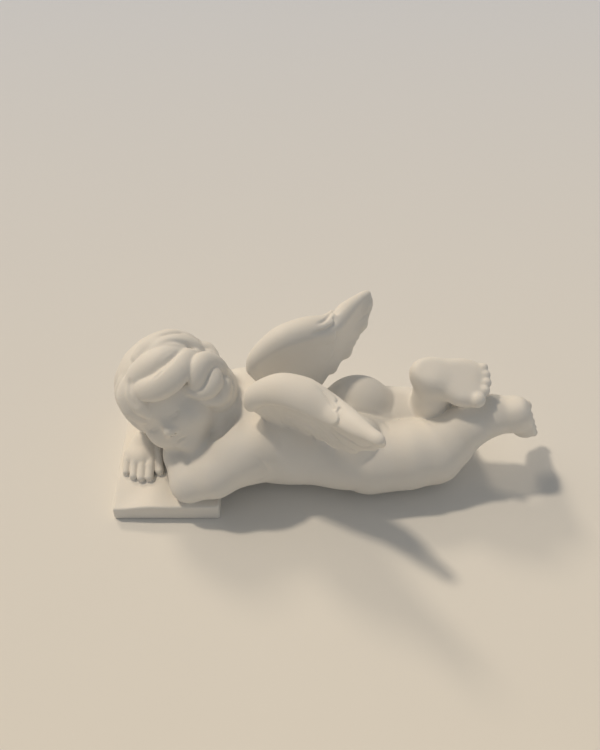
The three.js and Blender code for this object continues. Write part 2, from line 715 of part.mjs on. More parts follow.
function solidOf(geometry) {
  const bare = geometry.clone();
  bare.deleteAttribute("normal");
  bare.deleteAttribute("uv");
  const merged = mergeVertices(bare, 1e-5);
  const vertProperties = new Float32Array(merged.attributes.position.array);
  const triVerts = new Uint32Array(merged.index.array);
  return new wasm.Manifold(new wasm.Mesh({ numProp: 3, vertProperties, triVerts }));
}

function geometryFrom(solid) {
  const mesh = solid.getMesh();
  const geometry = new THREE.BufferGeometry();
  geometry.setAttribute("position", new THREE.Float32BufferAttribute(mesh.vertProperties, 3));
  geometry.setIndex(Array.from(mesh.triVerts));
  geometry.computeVertexNormals();
  return geometry;
}

/** The slab under the arms: a rectangle with round corners and softened edges. */
function slab() {
  const [w, h, r] = [SLAB_LENGTH - 2 * SLAB_BEVEL, SLAB_WIDTH - 2 * SLAB_BEVEL, SLAB_CORNER];
  const outline = new THREE.Shape();
  outline.moveTo(r, 0);
  outline.lineTo(w - r, 0);
  outline.absarc(w - r, r, r, -Math.PI / 2, 0);
  outline.lineTo(w, h - r);
  outline.absarc(w - r, h - r, r, 0, Math.PI / 2);
  outline.lineTo(r, h);
  outline.absarc(r, h - r, r, Math.PI / 2, Math.PI);
  outline.lineTo(0, r);
  outline.absarc(r, r, r, Math.PI, 1.5 * Math.PI);
  const edges = { bevelEnabled: true, bevelThickness: SLAB_BEVEL, bevelSize: SLAB_BEVEL, bevelSegments: 2 };
  const depth = SLAB_HEIGHT - 2 * SLAB_BEVEL;
  const shape = new THREE.ExtrudeGeometry(outline, { depth, curveSegments: 3, ...edges });
  return shape.translate(SLAB_LEFT + SLAB_BEVEL, SLAB_FRONT + SLAB_BEVEL, SLAB_BEVEL);
}

/** A block under the floor that takes off what reaches below it. */
function underFloor() {
  const deep = FIGURE_LENGTH;
  return new THREE.BoxGeometry(3 * FIGURE_LENGTH, 3 * FIGURE_LENGTH, deep).translate(0, 0, -deep / 2);
}

const body = solidOf(geometryOf(thin(skin(figure()), FIGURE_TRIANGLES)));
const casting = body.subtract(solidOf(underFloor())).add(solidOf(slab()));

const bisque = new THREE.MeshStandardMaterial({ color: 0xe4ddd0, roughness: 0.85, metalness: 0 });
const angel = new THREE.Mesh(geometryFrom(casting), bisque);
angel.name = "angel_figurine";

// it stands with the middle of its outline over the origin
angel.geometry.computeBoundingBox();
const middle = angel.geometry.boundingBox.getCenter(new THREE.Vector3());
angel.position.set(-middle.x, -middle.y, 0);

const group = new THREE.Group();
group.add(angel);

export default group;
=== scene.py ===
"""A reclining angel in white bisque, its chin over its folded arms on a small slab.

The figure is pressed together in a grid of signed distances, as a modeller presses lumps of clay together,
then given its fine lines, and turned into one mesh. Sizes are in millimetres until the mesh is made, and in
metres after that.
"""

import math

import bpy
import numpy as np
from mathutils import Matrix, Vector


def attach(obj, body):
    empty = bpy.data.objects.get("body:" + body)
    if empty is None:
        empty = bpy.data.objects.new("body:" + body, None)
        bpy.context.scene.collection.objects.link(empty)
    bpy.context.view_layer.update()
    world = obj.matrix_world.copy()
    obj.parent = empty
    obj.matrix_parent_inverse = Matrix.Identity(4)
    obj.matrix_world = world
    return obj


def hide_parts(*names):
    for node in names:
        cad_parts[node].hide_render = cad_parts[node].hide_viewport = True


MM = 0.001


# Clay: round shapes pressed together in a grid of signed distances, in millimetres

FAR = 30.0  # the distance in an empty grid
STRAND_STEPS = 5  # the cones from each point of a strand to the next
SLOPE_SPAN = 0.9  # from a point to the places where the slope there is read
SETTLING_ROUNDS = 5
LONGEST_MOVE = 0.8  # in one round, when a point is moved onto the surface
BEYOND_REACH = 4  # how many times a distance counts above or below the reach of a relief
LIP_EDGE = 0.25  # the width over which a lip drops


def vec(p):
    return np.array(p, float)


def unit(p):
    p = vec(p)
    return p / np.linalg.norm(p)


def directions(first, second):
    """Three directions at right angles: the first as given, the second as near to its own as can be."""
    a = unit(first)
    b = unit(vec(second) - a * (vec(second) @ a))
    return a, b, np.cross(a, b)


def curve(points, steps):
    """Points along a smooth curve through the given ones."""
    p = [vec(q) for q in points]
    p = [2 * p[0] - p[1]] + p + [2 * p[-1] - p[-2]]
    path = []
    for i in range(1, len(p) - 2):
        a, b, c, d = p[i - 1:i + 3]
        for t in np.arange(steps) / steps:
            bend = (2 * a - 5 * b + 4 * c - d) * t * t + (3 * b - a - 3 * c + d) * t ** 3
            path.append(0.5 * (2 * b + (c - a) * t + bend))
    path.append(p[-2])
    return path


def along(values, t):
    """The value at t from 0 to 1 on a line through evenly spaced values or points."""
    values = np.asarray(values, float)
    place = min(max(t, 0), 1) * (len(values) - 1)
    i = min(int(place), len(values) - 2)
    return values[i] + (values[i + 1] - values[i]) * (place - i)


WORLD = np.eye(3)


class Oval:
    """An ellipsoid with half sizes along three directions."""

    def __init__(self, centre, radii, axes=WORLD):
        self.c, self.r, self.a = vec(centre), vec(radii), np.array(axes)
        reach = np.sqrt(((self.a * self.r[:, None]) ** 2).sum(0))
        self.lo, self.hi = self.c - reach, self.c + reach

    def distance(self, x, y, z):
        dx, dy, dz = x - self.c[0], y - self.c[1], z - self.c[2]
        near = 0
        slope = 0
        for a, r in zip(self.a, self.r):
            q = (dx * a[0] + dy * a[1] + dz * a[2]) / r
            near = near + q * q
            slope = slope + (q / r) ** 2
        k = np.sqrt(near)
        return k * (k - 1) / (np.sqrt(slope) + 1e-6)


def ball(centre, radius):
    return Oval(centre, (radius, radius, radius))


class Limb:
    """A round cone from a to b, thinned to the share flat of its thickness along the direction thin."""

    def __init__(self, a, b, ra, rb, thin=None, flat=1.0):
        self.a, self.b, self.ra, self.rb = vec(a), vec(b), ra, rb
        self.thin, self.flat = thin, flat
        self.lo = np.minimum(self.a - ra, self.b - rb)
        self.hi = np.maximum(self.a + ra, self.b + rb)

    def distance(self, x, y, z):
        a, d = self.a, self.b - self.a
        px, py, pz = x - a[0], y - a[1], z - a[2]
        t = np.clip((px * d[0] + py * d[1] + pz * d[2]) / max(d @ d, 1e-9), 0, 1)
        px, py, pz = px - t * d[0], py - t * d[1], pz - t * d[2]
        s = px * px + py * py + pz * pz
        r = self.ra + (self.rb - self.ra) * t
        if self.thin is None:
            return np.sqrt(s) - r
        h = px * self.thin[0] + py * self.thin[1] + pz * self.thin[2]
        return (np.sqrt(s + (1 / self.flat ** 2 - 1) * h * h) - r) * (self.flat + 1) / 2


def strand(points, radii, thin, flat):
    """A rope of round cones along a smooth curve; thin gives the flat direction at a point."""
    path = curve(points, STRAND_STEPS)
    r = [along(radii, i / (len(path) - 1)) for i in range(len(path))]
    return [Limb(path[i], path[i + 1], r[i], r[i + 1], thin(path[i]), flat) for i in range(len(path) - 1)]


def soft_min(a, b, k):
    """The smaller of two distances, rounded over the width k where they are alike."""
    if k <= 0:
        return np.minimum(a, b)
    h = np.maximum(k - np.abs(a - b), 0) / k
    return np.minimum(a, b) - h * h * (k / 4)


class Clay:
    """A grid of distances into which shapes are pressed."""

    def __init__(self, lo, hi, step):
        self.step = step
        self.start = np.floor(vec(lo) / step).astype(int)
        count = np.ceil(vec(hi) / step).astype(int) - self.start + 1
        self.field = np.full(count, FAR, np.float32)

    def window(self, lo, hi, pad):
        """The part of the grid in a box, and its coordinates."""
        count = self.field.shape
        first = np.clip(np.floor((lo - pad) / self.step).astype(int) - self.start, 0, count)
        last = np.clip(np.ceil((hi + pad) / self.step).astype(int) - self.start + 1, 0, count)
        part = tuple(slice(a, b) for a, b in zip(first, last))
        places = [(self.start[k] + np.arange(first[k], last[k])) * self.step for k in range(3)]
        return part, np.ix_(*[p.astype(np.float32) for p in places])

    def add(self, shape, k=0.0):
        """Presses a shape on, with a fillet of the width k."""
        part, xyz = self.window(shape.lo, shape.hi, k + 3 * self.step)
        self.field[part] = soft_min(self.field[part], shape.distance(*xyz), k)

    def cut(self, shape, k=0.0):
        """Cuts a shape away, with a softened rim."""
        part, xyz = self.window(shape.lo, shape.hi, k + 3 * self.step)
        self.field[part] = -soft_min(-self.field[part], shape.distance(*xyz), k)

    def group(self, shapes, inner, k, plane=None):
        """Joins shapes with each other by the fillet inner, then presses them on with the fillet k.
        plane, a point, a way out and a rounding, is what the group is pared down to first."""
        lo = np.min([s.lo for s in shapes], 0)
        hi = np.max([s.hi for s in shapes], 0)
        pad = k + 3 * self.step
        own = Clay(lo - pad - self.step, hi + pad + self.step, self.step)
        for shape in shapes:
            own.add(shape, inner)
        if plane:
            point, out, rounding = plane
            _, (x, y, z) = own.window(lo, hi, 2 * pad)
            above = (x - point[0]) * out[0] + (y - point[1]) * out[1] + (z - point[2]) * out[2]
            own.field = -soft_min(-own.field, -above.astype(np.float32), rounding)
        part, _ = self.window(lo, hi, pad)
        offset = self.start - own.start
        same = tuple(slice(s.start + o, s.stop + o) for s, o in zip(part, offset))
        self.field[part] = soft_min(self.field[part], own.field[same], k)

    def distance(self, points):
        """The distances at points between those of the grid."""
        q = np.clip(points / self.step - self.start, 0, np.array(self.field.shape) - 1.01)
        i = q.astype(int)
        f = q - i
        total = np.zeros(len(points))
        for corner in np.ndindex(2, 2, 2):
            weight = np.prod(np.where(corner, f, 1 - f), axis=1)
            total += weight * self.field[tuple((i + corner).T)]
        return total

    def ways_out(self, points):
        """The directions out of the surface near points."""
        slope = [self.distance(points + e) - self.distance(points - e) for e in np.eye(3) * SLOPE_SPAN]
        slope = np.stack(slope, axis=1)
        return slope / np.maximum(np.linalg.norm(slope, axis=1, keepdims=True), 1e-6)

    def settled(self, points):
        """Points moved onto the surface."""
        points = np.array(points, float)
        for _ in range(SETTLING_ROUNDS):
            move = np.clip(self.distance(points), -LONGEST_MOVE, LONGEST_MOVE)
            points = points - self.ways_out(points) * move[:, None]
        return points

    def relief(self, path, profile, reach, width):
        """Moves the surface along a path, which is first laid on it. profile(u, t) says how deep it goes, at
        the signed distance u to the right of the path, seen from outside, and the share t of its length. It
        is worked out for the width beside the path, and fades beyond the reach above and below it."""
        path = self.settled(path)
        ways = self.ways_out((path[1:] + path[:-1]) / 2)
        lo, hi = np.min(path, 0), np.max(path, 0)
        part, (x, y, z) = self.window(lo, hi, width + reach)
        shape = self.field[part].shape
        best = np.full(shape, FAR, np.float32)
        side = np.zeros(shape, np.float32)
        share = np.zeros(shape, np.float32)
        count = len(path) - 1
        for i in range(count):
            a, b = path[i], path[i + 1]
            m = ways[i]
            d = (b - a) - m * ((b - a) @ m)
            across = np.cross(d, m) / np.linalg.norm(d)
            px, py, pz = x - a[0], y - a[1], z - a[2]
            h = px * m[0] + py * m[1] + pz * m[2]
            px, py, pz = px - h * m[0], py - h * m[1], pz - h * m[2]
            t = np.clip((px * d[0] + py * d[1] + pz * d[2]) / (d @ d), 0, 1)
            px, py, pz = px - t * d[0], py - t * d[1], pz - t * d[2]
            beyond = np.maximum(np.abs(h) - reach, 0)
            r = np.sqrt(px * px + py * py + pz * pz) + beyond * BEYOND_REACH
            nearer = r < best
            best = np.where(nearer, r, best)
            side = np.where(nearer, px * across[0] + py * across[1] + pz * across[2], side)
            share = np.where(nearer, (i + t) / count, share)
        u = np.where(side < 0, -best, best)
        self.field[part] += profile(u, share).astype(np.float32)


def fade(t, start, end):
    """1 along a stroke, falling to 0 over its start and its end."""
    near = np.clip(t / start, 0, 1) * np.clip((1 - t) / end, 0, 1)
    return near * near * (3 - 2 * near)


def groove(depth, width, start=0.25, end=0.25):
    """A round-edged line, or a ridge where the depth is below 0."""
    return lambda u, t: depth * np.exp(-(u / width) ** 2) * fade(t, start, end)


def step_down(depth, width, start, end):
    """A lip: the surface drops on the path's right-hand side and climbs back over the width."""
    def profile(u, t):
        drop = np.clip(u / LIP_EDGE + 0.5, 0, 1)
        return depth * drop * np.exp(-np.maximum(u, 0) / width) * fade(t, start, end)

    return profile


def mirrored(profile):
    """A profile with its left and right swapped."""
    return lambda u, t: profile(-u, t)


# Sizes, in millimetres, as the solid has them

SLAB_TOP = 6.6
SLAB_LOW = (-72.6, -25, 0)
SLAB_HIGH = (-36.6, 29, SLAB_TOP)
HALF_SPAN = 35.0
FEATHER_RADIUS = 1.3


# The body

def torso(clay):
    clay.add(Oval((-19, 0, 16.5), (19, 18.5, 15.5)))
    clay.add(Oval((-2, 0, 13.5), (22, 18, 12.5)), 8)
    clay.add(Oval((9, 0, 13), (15, 19.8, 12)), 8)
    for side in (-1, 1):
        clay.add(ball((-29, side * 13.5, 20.4), 9), 6)
    clay.add(Limb((-28, 2, 21), HEAD + (7, 0, -3), 10, 8.5), 4)
    seat = [Oval((9, -8.4, 18.7), (9.6, 9.2, 12.6)), Oval((10.5, 9.2, 17.8), (13, 10.2, 13.8))]
    clay.group(seat, 0.6, 1.8)


FAR_ANKLE = vec((34.5, 4.8, 36.0))
NEAR_ANKLE = vec((61.5, -0.3, 25.6))
NEAR_LEG = [
    ((14, -8.8, 12.4), 12.2), ((27, -7.2, 12.8), 12.0), ((36, -5.6, 12.8), 11.4), ((40.5, -4.2, 16), 9.8),
    ((47, -2.2, 22.2), 8.1), ((55, -0.6, 25.4), 7.0), (tuple(NEAR_ANKLE), 6.2),
]
FAR_THIGH = [((15, 10, 12.6), 11.8), ((28, 9.5, 12), 11.5), ((37.5, 8.5, 11.2), 10.8)]
FAR_SHANK = [((37.5, 9.5, 12), 9), ((36.4, 7.6, 21), 7.9), ((35.4, 6.0, 29.5), 6.6), (tuple(FAR_ANKLE), 6.0)]


def chain(places):
    """Limbs from each place, with its radius, to the next one."""
    return [Limb(a, b, ra, rb) for (a, ra), (b, rb) in zip(places, places[1:])]


def legs(clay):
    clay.group(chain(FAR_THIGH), 1, 2.5)
    clay.group(chain(FAR_SHANK), 1, 1)
    clay.group(chain(NEAR_LEG), 1, 0.8)


def foot(clay, ankle, toes, sole, inward, scale):
    """A foot from its ankle, at a share of full size, by the ways towards its toes, out of its sole and
    towards its big toe."""
    ahead, out, across = directions(toes, sole)
    if across @ vec(inward) < 0:
        across = -across
    axes = (ahead, across, out)

    def at(x, y, z):
        return ankle + scale * (x * ahead + y * across + z * out)

    def lump(x, y, z, radii):
        return Oval(at(x, y, z), vec(radii) * scale, axes)

    pads = [
        lump(-2.4, -1.6, 2.4, (6.6, 5.2, 6.4)),
        lump(3.2, -1.4, 2.2, (9, 5.6, 6.2)),
        lump(8.8, 2.2, 2.6, (7.2, 5.6, 5.4)),
        lump(8.8, -3.2, 2.6, (7.2, 5.0, 5.2)),
    ]
    clay.group(pads, 2.5, 3, (at(0, 0, 6.3), out, 1.6))
    toe_tips = [(13.4, 5.6, 2.6), (15.3, 2.2, 1.9), (15.7, -0.6, 1.8), (15.3, -3.2, 1.7), (14.4, -5.6, 1.6)]
    shapes = []
    for x, y, r in toe_tips:
        shapes.append(Limb(at(x - 5, y * 0.95, 3.8), at(x - 1.4, y, 3.7), r * 0.8 * scale, r * 0.86 * scale))
        shapes.append(ball(at(x, y, 4.6), r * scale))
    clay.group(shapes, 0.7, 0.9)


def arms(clay):
    t = SLAB_TOP
    clay.add(Limb((-27, -12.5, 19.5), (-38, -18.2, t + 8.6), 8.8, 7.2), 5)
    clay.add(Limb((-38, -18.2, t + 8.6), (-46.5, -19, t + 5.2), 7.2, 6.0), 3)
    clay.add(Limb((-34, -12, t + 11.9), (-48, -13, t + 6), 7.5, 5.4), 3)
    clay.add(Limb((-46.5, -19, t + 5.2), (-50.6, -8, t + 6.6), 6.0, 5.2), 2.5)
    clay.add(Limb((-50.6, -8, t + 6.6), (-54, 4, t + 8), 5.3, 4.6), 2.5)
    clay.add(Limb((-29, 14.5, 20), (-44, 21, t + 7.4), 8.6, 7.2), 4)
    clay.add(Limb((-44, 21, t + 7.4), (-54, 22, t + 5.2), 7.2, 5.8), 3)
    clay.add(Limb((-54, 22, t + 4.8), (-61, 9, t + 4.6), 5.8, 4.8), 2.5)
    clay.add(Limb((-61, 9, t + 4.6), (-64, 1, t + 4), 4.8, 4), 2.5)


def hand(clay):
    """The hand that shows, palm down on the slab, four fingers and the thumb."""
    t = SLAB_TOP
    clay.add(Oval((-65, -3, t + 3.0), (5.2, 6, 3)), 2)
    fingers = []
    for i, y in enumerate((-10.6, -12.4, -13.2, -13.0)):
        x = -69.6 + i * 2.75
        r = 1.3 + i * 0.09
        fingers.append(Limb((x, -4, t + 2.8), (x, y + 4, t + 2.3), r * 1.1, r))
        fingers.append(Limb((x, y + 4, t + 2.3), (x, y, t + 0.9), r, r * 0.95))
    fingers.append(Limb((-59.6, -1, t + 3), (-58.6, -6, t + 2.2), 2.0, 1.5))
    fingers.append(Limb((-58.6, -6, t + 2.2), (-58, -10.4, t + 1.2), 1.5, 1.55))
    clay.group(fingers, 0.25, 0.8)


# Furrows and folds of the body, and how they are cut
BODY_LINES = [
    # the deep gap between the cheek, the curls and the shoulder
    ([(-39.5, -13, 25), (-36, -9.5, 27), (-32.8, -5.4, 29.5), (-30, -1, 31.5)],
     groove(2.4, 2.0, 0.45, 0.45), 6),
    # the spine, the cleft and the folds below it
    ([(-21, 1, 33), (-13, 0.8, 29), (-3, 0.4, 26), (5, 0.3, 25)], groove(0.5, 2.0, 0.4, 0.4), 6),
    ([(3, 0.2, 26), (9, 0.3, 25), (15, 0.6, 24), (20, 0.8, 21)], groove(0.9, 0.9, 0.3, 0.3), 4),
    ([(19, -1.5, 22), (20.5, -5, 22), (20, -9, 21.5)], groove(0.4, 0.9, 0.2, 0.6), 3),
    ([(21, 3, 21), (22.5, 9, 21), (21, 14, 19.5)], groove(0.4, 0.9, 0.2, 0.6), 3),
    # shoulder blades
    ([(-20, -7, 33), (-14, -9, 30), (-11, -6, 28)], groove(0.3, 1.6), 4),
    ([(-20, 9, 33), (-14, 11, 30), (-11, 8, 28)], groove(0.3, 1.6), 4),
    # the near elbow and wrist
    ([(-47.2, -22.5, 9.5), (-45.4, -24.2, 8.6), (-43, -24.8, 8)], groove(0.25, 0.6), 2),
    ([(-53.6, -8, 15), (-54.8, -6, 16), (-55.4, -3, 17)], groove(0.15, 0.5), 2),
]


def body_lines(clay):
    for places, profile, width in BODY_LINES:
        clay.relief(curve(places, 6), profile, 2.0, width)


# The head: its directions are out of its face, its crown and its right

HEAD = vec((-52, 3.6, SLAB_TOP + 22.9))
FACE, CROWN, RIGHT = directions((-0.22, -0.93, 0.28), (-0.645, 0.355, 0.678))
HEAD_AXES = (RIGHT, CROWN, FACE)


def in_head(a, b, c):
    """A point of the head: a to its right, b to its crown, c out of its face."""
    return HEAD + a * RIGHT + b * CROWN + c * FACE


def head(clay):
    def lump(a, b, c, radii):
        return Oval(in_head(a, b, c), radii, HEAD_AXES)

    skull = [
        lump(0, 2, -1, (14.5, 15.5, 15.5)),
        lump(0, -6, 4, (11, 10, 10)),
        lump(0, -13, 9.4, (3.8, 3.8, 3.8)),
    ]
    skull += [lump(side * 6, -5.5, 7.5, (5.8, 6, 6)) for side in (-1, 1)]
    clay.group(skull, 4, 2.5)
    for side in (-1, 1):
        clay.cut(lump(side * 4.9, -0.4, 15.6, (3.2, 2.1, 2.2)), 2)
        clay.add(lump(side * 4.8, -0.9, 11.2, (2.7, 2.2, 2.3)), 0.5)
    bridge, middle, tip = in_head(0, 1, 12.2), in_head(0, -3.4, 13.9), in_head(0, -4.9, 14.9)
    nose = [Limb(bridge, middle, 1.5, 1.5), Limb(middle, tip, 1.5, 1.9)]
    nose += [ball(in_head(side * 1.8, -5.8, 13.9), 1.25) for side in (-1, 1)]
    clay.group(nose, 1.0, 1.2)
    for side in (-1, 1):
        clay.cut(lump(side * 0.95, -6.6, 14.3, (0.45, 0.4, 0.6)), 0.4)
    lips = [lump(side * 1.3, -8.9, 12.9, (1.9, 0.8, 1.1)) for side in (-1, 1)]
    lips.append(lump(0, -10.3, 12.5, (2.3, 0.9, 1.2)))
    clay.group(lips, 0.5, 0.7)


def face_lines(clay):
    """The fine lines of the face: lids, brows, mouth and the folds beside them."""
    def line(points, profile, width=1.6):
        path = curve([in_head(*p) for p in points], 6)
        clay.relief(path, profile, 2.0, width)

    for s in (-1, 1):
        lid = [
            (s * 2.3, -1.7, 13), (s * 3.6, -1.2, 13.4), (s * 5, -1.1, 13.4), (s * 6.4, -1.5, 12.8),
            (s * 7.4, -2.1, 12),
        ]
        line(lid, groove(0.4, 0.32, 0.3, 0.3))
        fold = [(s * 2.2, 0.1, 13), (s * 3.8, 1.0, 13.2), (s * 5.6, 1.0, 12.8), (s * 7.2, 0.1, 12)]
        line(fold, groove(0.22, 0.4, 0.4, 0.4))
        low = [(s * 2.8, -2.3, 13), (s * 4.6, -2.8, 13.2), (s * 6.6, -2.5, 12.6)]
        line(low, groove(0.2, 0.3, 0.4, 0.4))
        brow = [(s * 2.2, 2.6, 13.2), (s * 4.6, 3.5, 13), (s * 7.4, 3, 12)]
        line(brow, groove(-0.18, 0.7, 0.5, 0.5), 2.4)
        line([(s * 3.2, -9.2, 12.8), (s * 3.8, -9.9, 12.4)], groove(0.25, 0.5, 0.5, 0.5))
    mouth = [
        (-3.2, -9.5, 12.8), (-1.4, -9.75, 13.6), (0, -9.55, 13.9), (1.4, -9.75, 13.6), (3.2, -9.5, 12.8),
    ]
    line(mouth, groove(0.38, 0.32, 0.25, 0.25))
    line([(0, -7.1, 14.2), (0, -8.2, 13.8)], groove(0.2, 0.45, 0.4, 0.4))
    line([(-1.8, -11.5, 13), (0, -11.7, 13.2), (1.8, -11.5, 13)], groove(0.22, 0.5, 0.5, 0.5))


# The hair: the oval that it lies on, in the head's directions

HAIR_MIDDLE = (0, 3.5, -3)
HAIR_RADII = (16.8, 18.6, 17.6)
BACK_STRANDS = 13
BACK_LINES = 17
SWEEP = 0.12  # how far the hair of the back turns for each degree that it falls
SWEEP_FROM = 70  # the fall, in degrees, where it has not turned yet


def on_hair(turn, fall, lift=0):
    """A place on the head of hair: turned from over the face to its right and fallen from the crown, both in
    degrees, and lifted."""
    t, f = math.radians(turn), math.radians(fall)
    out = (math.sin(f) * math.sin(t), math.cos(f), math.sin(f) * math.cos(t))
    return in_head(*(m + (r + lift) * o for m, r, o in zip(HAIR_MIDDLE, HAIR_RADII, out)))


def out_of_hair(point):
    return unit(point - in_head(*HAIR_MIDDLE))


# Locks of hair as curves of turn, fall and lift, from root to tip, with the radius along them
LOCKS = [
    # swept over the top from the parting
    ([(-112, 76, 0), (-102, 61, 0.2), (-90, 47, 0.3), (-66, 35, 0), (-30, 30, -1)], (2.2, 3.4, 4.0, 4.0, 3)),
    ([(-84, 78, -0.8), (-77, 70, -0.2), (-68, 62, 0), (-54, 57, 0.3), (-34, 53, 0), (-12, 51, -0.6),
      (6, 57, -1)],
     (2, 3.0, 3.6, 4.2, 4.6, 4.2, 3)),
    ([(-99, 83, -0.6), (-95, 74, 0.5), (-88, 63, 0.9), (-79, 54, 0.8), (-64, 45, 0.2), (-38, 40, -0.8)],
     (2, 3.0, 3.6, 3.9, 3.7, 2.6)),
    # down over the temple
    ([(30, 46, -1.6), (42, 57, -1.2), (46, 69, -1.2), (43, 82, -1.4)], (3, 3.6, 3.4, 2.4)),
    ([(10, 52, -0.5), (20, 63, 0.3), (23, 75, 0.3), (21, 90, -0.5)], (3, 3.8, 3.6, 2.2)),
    ([(-3, 54, 0), (4, 66, 0.8), (6, 78, 0.6), (8, 89, -0.4)], (2.6, 3.0, 2.8, 1.8)),
    # the small bun behind the parting, and the thick roll over the brow
    ([(-110, 80, 0), (-116, 88, 0.8), (-108, 96, 0.6), (-100, 90, 0.8)], (2.4, 3, 2.8, 2.4)),
    ([(-92, 82, 0), (-80, 77, 0.8), (-68, 75, 1.4), (-53, 77, 1.8), (-38, 77, 2), (-25, 75, 1.8),
      (-14, 70, 1.2), (-7, 65, 0.3)],
     (2.2, 2.8, 3.4, 4.2, 4.5, 4.2, 3.6, 2.6)),
]
# The mass below the curls
CURL_MASS = [
    ([(-112, 112, 0), (-99, 121, 1.6), (-92, 128, 2.2), (-83, 133, 1.6), (-73, 132, 0.8), (-64, 127, 0)],
     (2.6, 3.8, 4.2, 3.6, 2.8, 2)),
    ([(-104, 101, 0), (-93, 108, 1.4), (-86, 116, 1.4), (-76, 122, 1.0), (-66, 122, 0.4), (-56, 114, 0)],
     (2.6, 3.8, 4.0, 3.8, 3.0, 2)),
    ([(-96, 92, 0), (-86, 97, 1.2), (-77, 103, 1.0), (-70, 109, 1.0), (-60, 108, 0.2), (-50, 98, 0)],
     (2.6, 3.8, 3.6, 3.6, 3.0, 2)),
]
# The curls on it: commas from the nape up to the parting, each a round head with a tail that sweeps forward,
# and a big arched one
CURLS = [
    ([(-90, 120, 3.6), (-87, 125, 4.0), (-81, 130, 3.8), (-72, 133, 3.0), (-62, 130, 1.8)],
     (1.7, 2.5, 2.7, 2.2, 1.4)),
    ([(-83, 112, 3.6), (-80, 116, 4.1), (-75, 121, 3.9), (-67, 123, 3.2), (-58, 119, 2.0), (-51, 112, 1.0)],
     (1.7, 2.6, 3.0, 2.6, 1.9, 1.2)),
    ([(-76, 99, 3.6), (-74, 102, 4.1), (-69, 106, 4.0), (-61, 108, 3.2), (-53, 106, 1.8), (-46, 99, 0.6)],
     (1.6, 2.6, 3.1, 2.7, 1.9, 1.2)),
    ([(-99, 119, 0.4), (-96, 111, 2.2), (-90, 103, 3.0), (-84, 95, 3.3), (-77, 89, 3.5), (-68, 88, 3.3),
      (-61, 92, 2.6), (-56, 100, 1.0)],
     (1.6, 2.6, 3.0, 3.3, 3.4, 3.4, 3.1, 2.4)),
]


def hair(clay):
    clay.group([Oval(in_head(*HAIR_MIDDLE), HAIR_RADII, HEAD_AXES)], 0, 0.8)
    left, right = in_head(-8, -5, -8), in_head(7, -5, -8)
    clay.group([Oval(left, (10, 11, 8), HEAD_AXES), Oval(right, (9, 10, 9), HEAD_AXES)], 2, 3)
    for table, flat, fillet in ((LOCKS, 0.75, 0.4), (CURL_MASS, 0.75, 1.5), (CURLS, 0.8, 0.35)):
        for path, radii in table:
            clay.group(strand([on_hair(*p) for p in path], radii, out_of_hair, flat), 0.5, fillet)
    # combed strands over the back of the head, from the crown to the nape
    for i in range(BACK_STRANDS):
        turn = 62 + 180 * i / (BACK_STRANDS - 1)
        path = [on_hair(turn - SWEEP * (fall - SWEEP_FROM), fall, -0.5) for fall in (16, 44, 72, 98, 122)]
        clay.group(strand(path, (1.4, 3.0, 3.6, 3.2, 2.0), out_of_hair, 0.55), 0.4, 0.5)


# Lines in the hair as curves of turn and fall, and how they are cut
HAIR_LINES = [
    # the two edges of the lock on top
    ([(-68, 41), (-78, 45), (-88, 52), (-98, 61)], groove(0.7, 0.6, 0.5, 0.2)),
    ([(-52, 46), (-62, 49), (-71, 54), (-77, 61), (-81, 69), (-85, 77)], groove(0.8, 0.8, 0.7, 0.1)),
    # between the roll over the brow and the hair above it
    ([(-10, 63), (-26, 66), (-42, 66), (-56, 66), (-66, 67), (-76, 70)], groove(0.45, 0.9, 0.4, 0.3)),
    ([(-24, 71), (-36, 72), (-48, 71), (-58, 71)], groove(0.35, 0.35, 0.4, 0.3)),
    ([(-22, 83), (-32, 86), (-44, 86)], groove(0.18, 0.4, 0.4, 0.4)),
    # over the temple
    ([(-6, 52), (0, 60), (4, 70), (3, 82)], groove(0.7, 0.8)),
    ([(16, 47), (26, 58), (30, 70), (28, 82)], groove(0.25, 0.6)),
    # faint combed lines on top
    ([(-36, 22), (-60, 30), (-84, 38), (-104, 52)], groove(0.22, 0.6, 0.4, 0.3)),
    ([(-24, 44), (-44, 47), (-58, 52)], groove(0.12, 0.6, 0.4, 0.4)),
    ([(-40, 60), (-54, 60), (-66, 63)], groove(0.12, 0.5, 0.4, 0.4)),
]


def hair_lines(clay):
    for places, profile in HAIR_LINES:
        path = curve([on_hair(turn, fall, 3.4) for turn, fall in places], 6)
        clay.relief(path, profile, 1.6, 3)
    # lines over the back of the head, each with a start, an end and a bend of its own
    for i in range(BACK_LINES):
        turn = 50 + 196 * i / (BACK_LINES - 1)
        start, end = 22 + 14 * ((7 * i) % 5) / 5, 104 + 16 * ((3 * i) % 4) / 4
        bend = 6 * math.sin(2.1 * i)
        path = []
        for fall in np.linspace(start, end, 6):
            swept = turn - SWEEP * (fall - SWEEP_FROM) + bend * math.sin(fall / 30)
            path.append(on_hair(swept, fall, 1.6))
        clay.relief(curve(path, 5), groove(0.35, 0.6, 0.4, 0.4), 1.6, 1.6)


# The wings: a thick rolled leading edge, and feathers that fan out from it

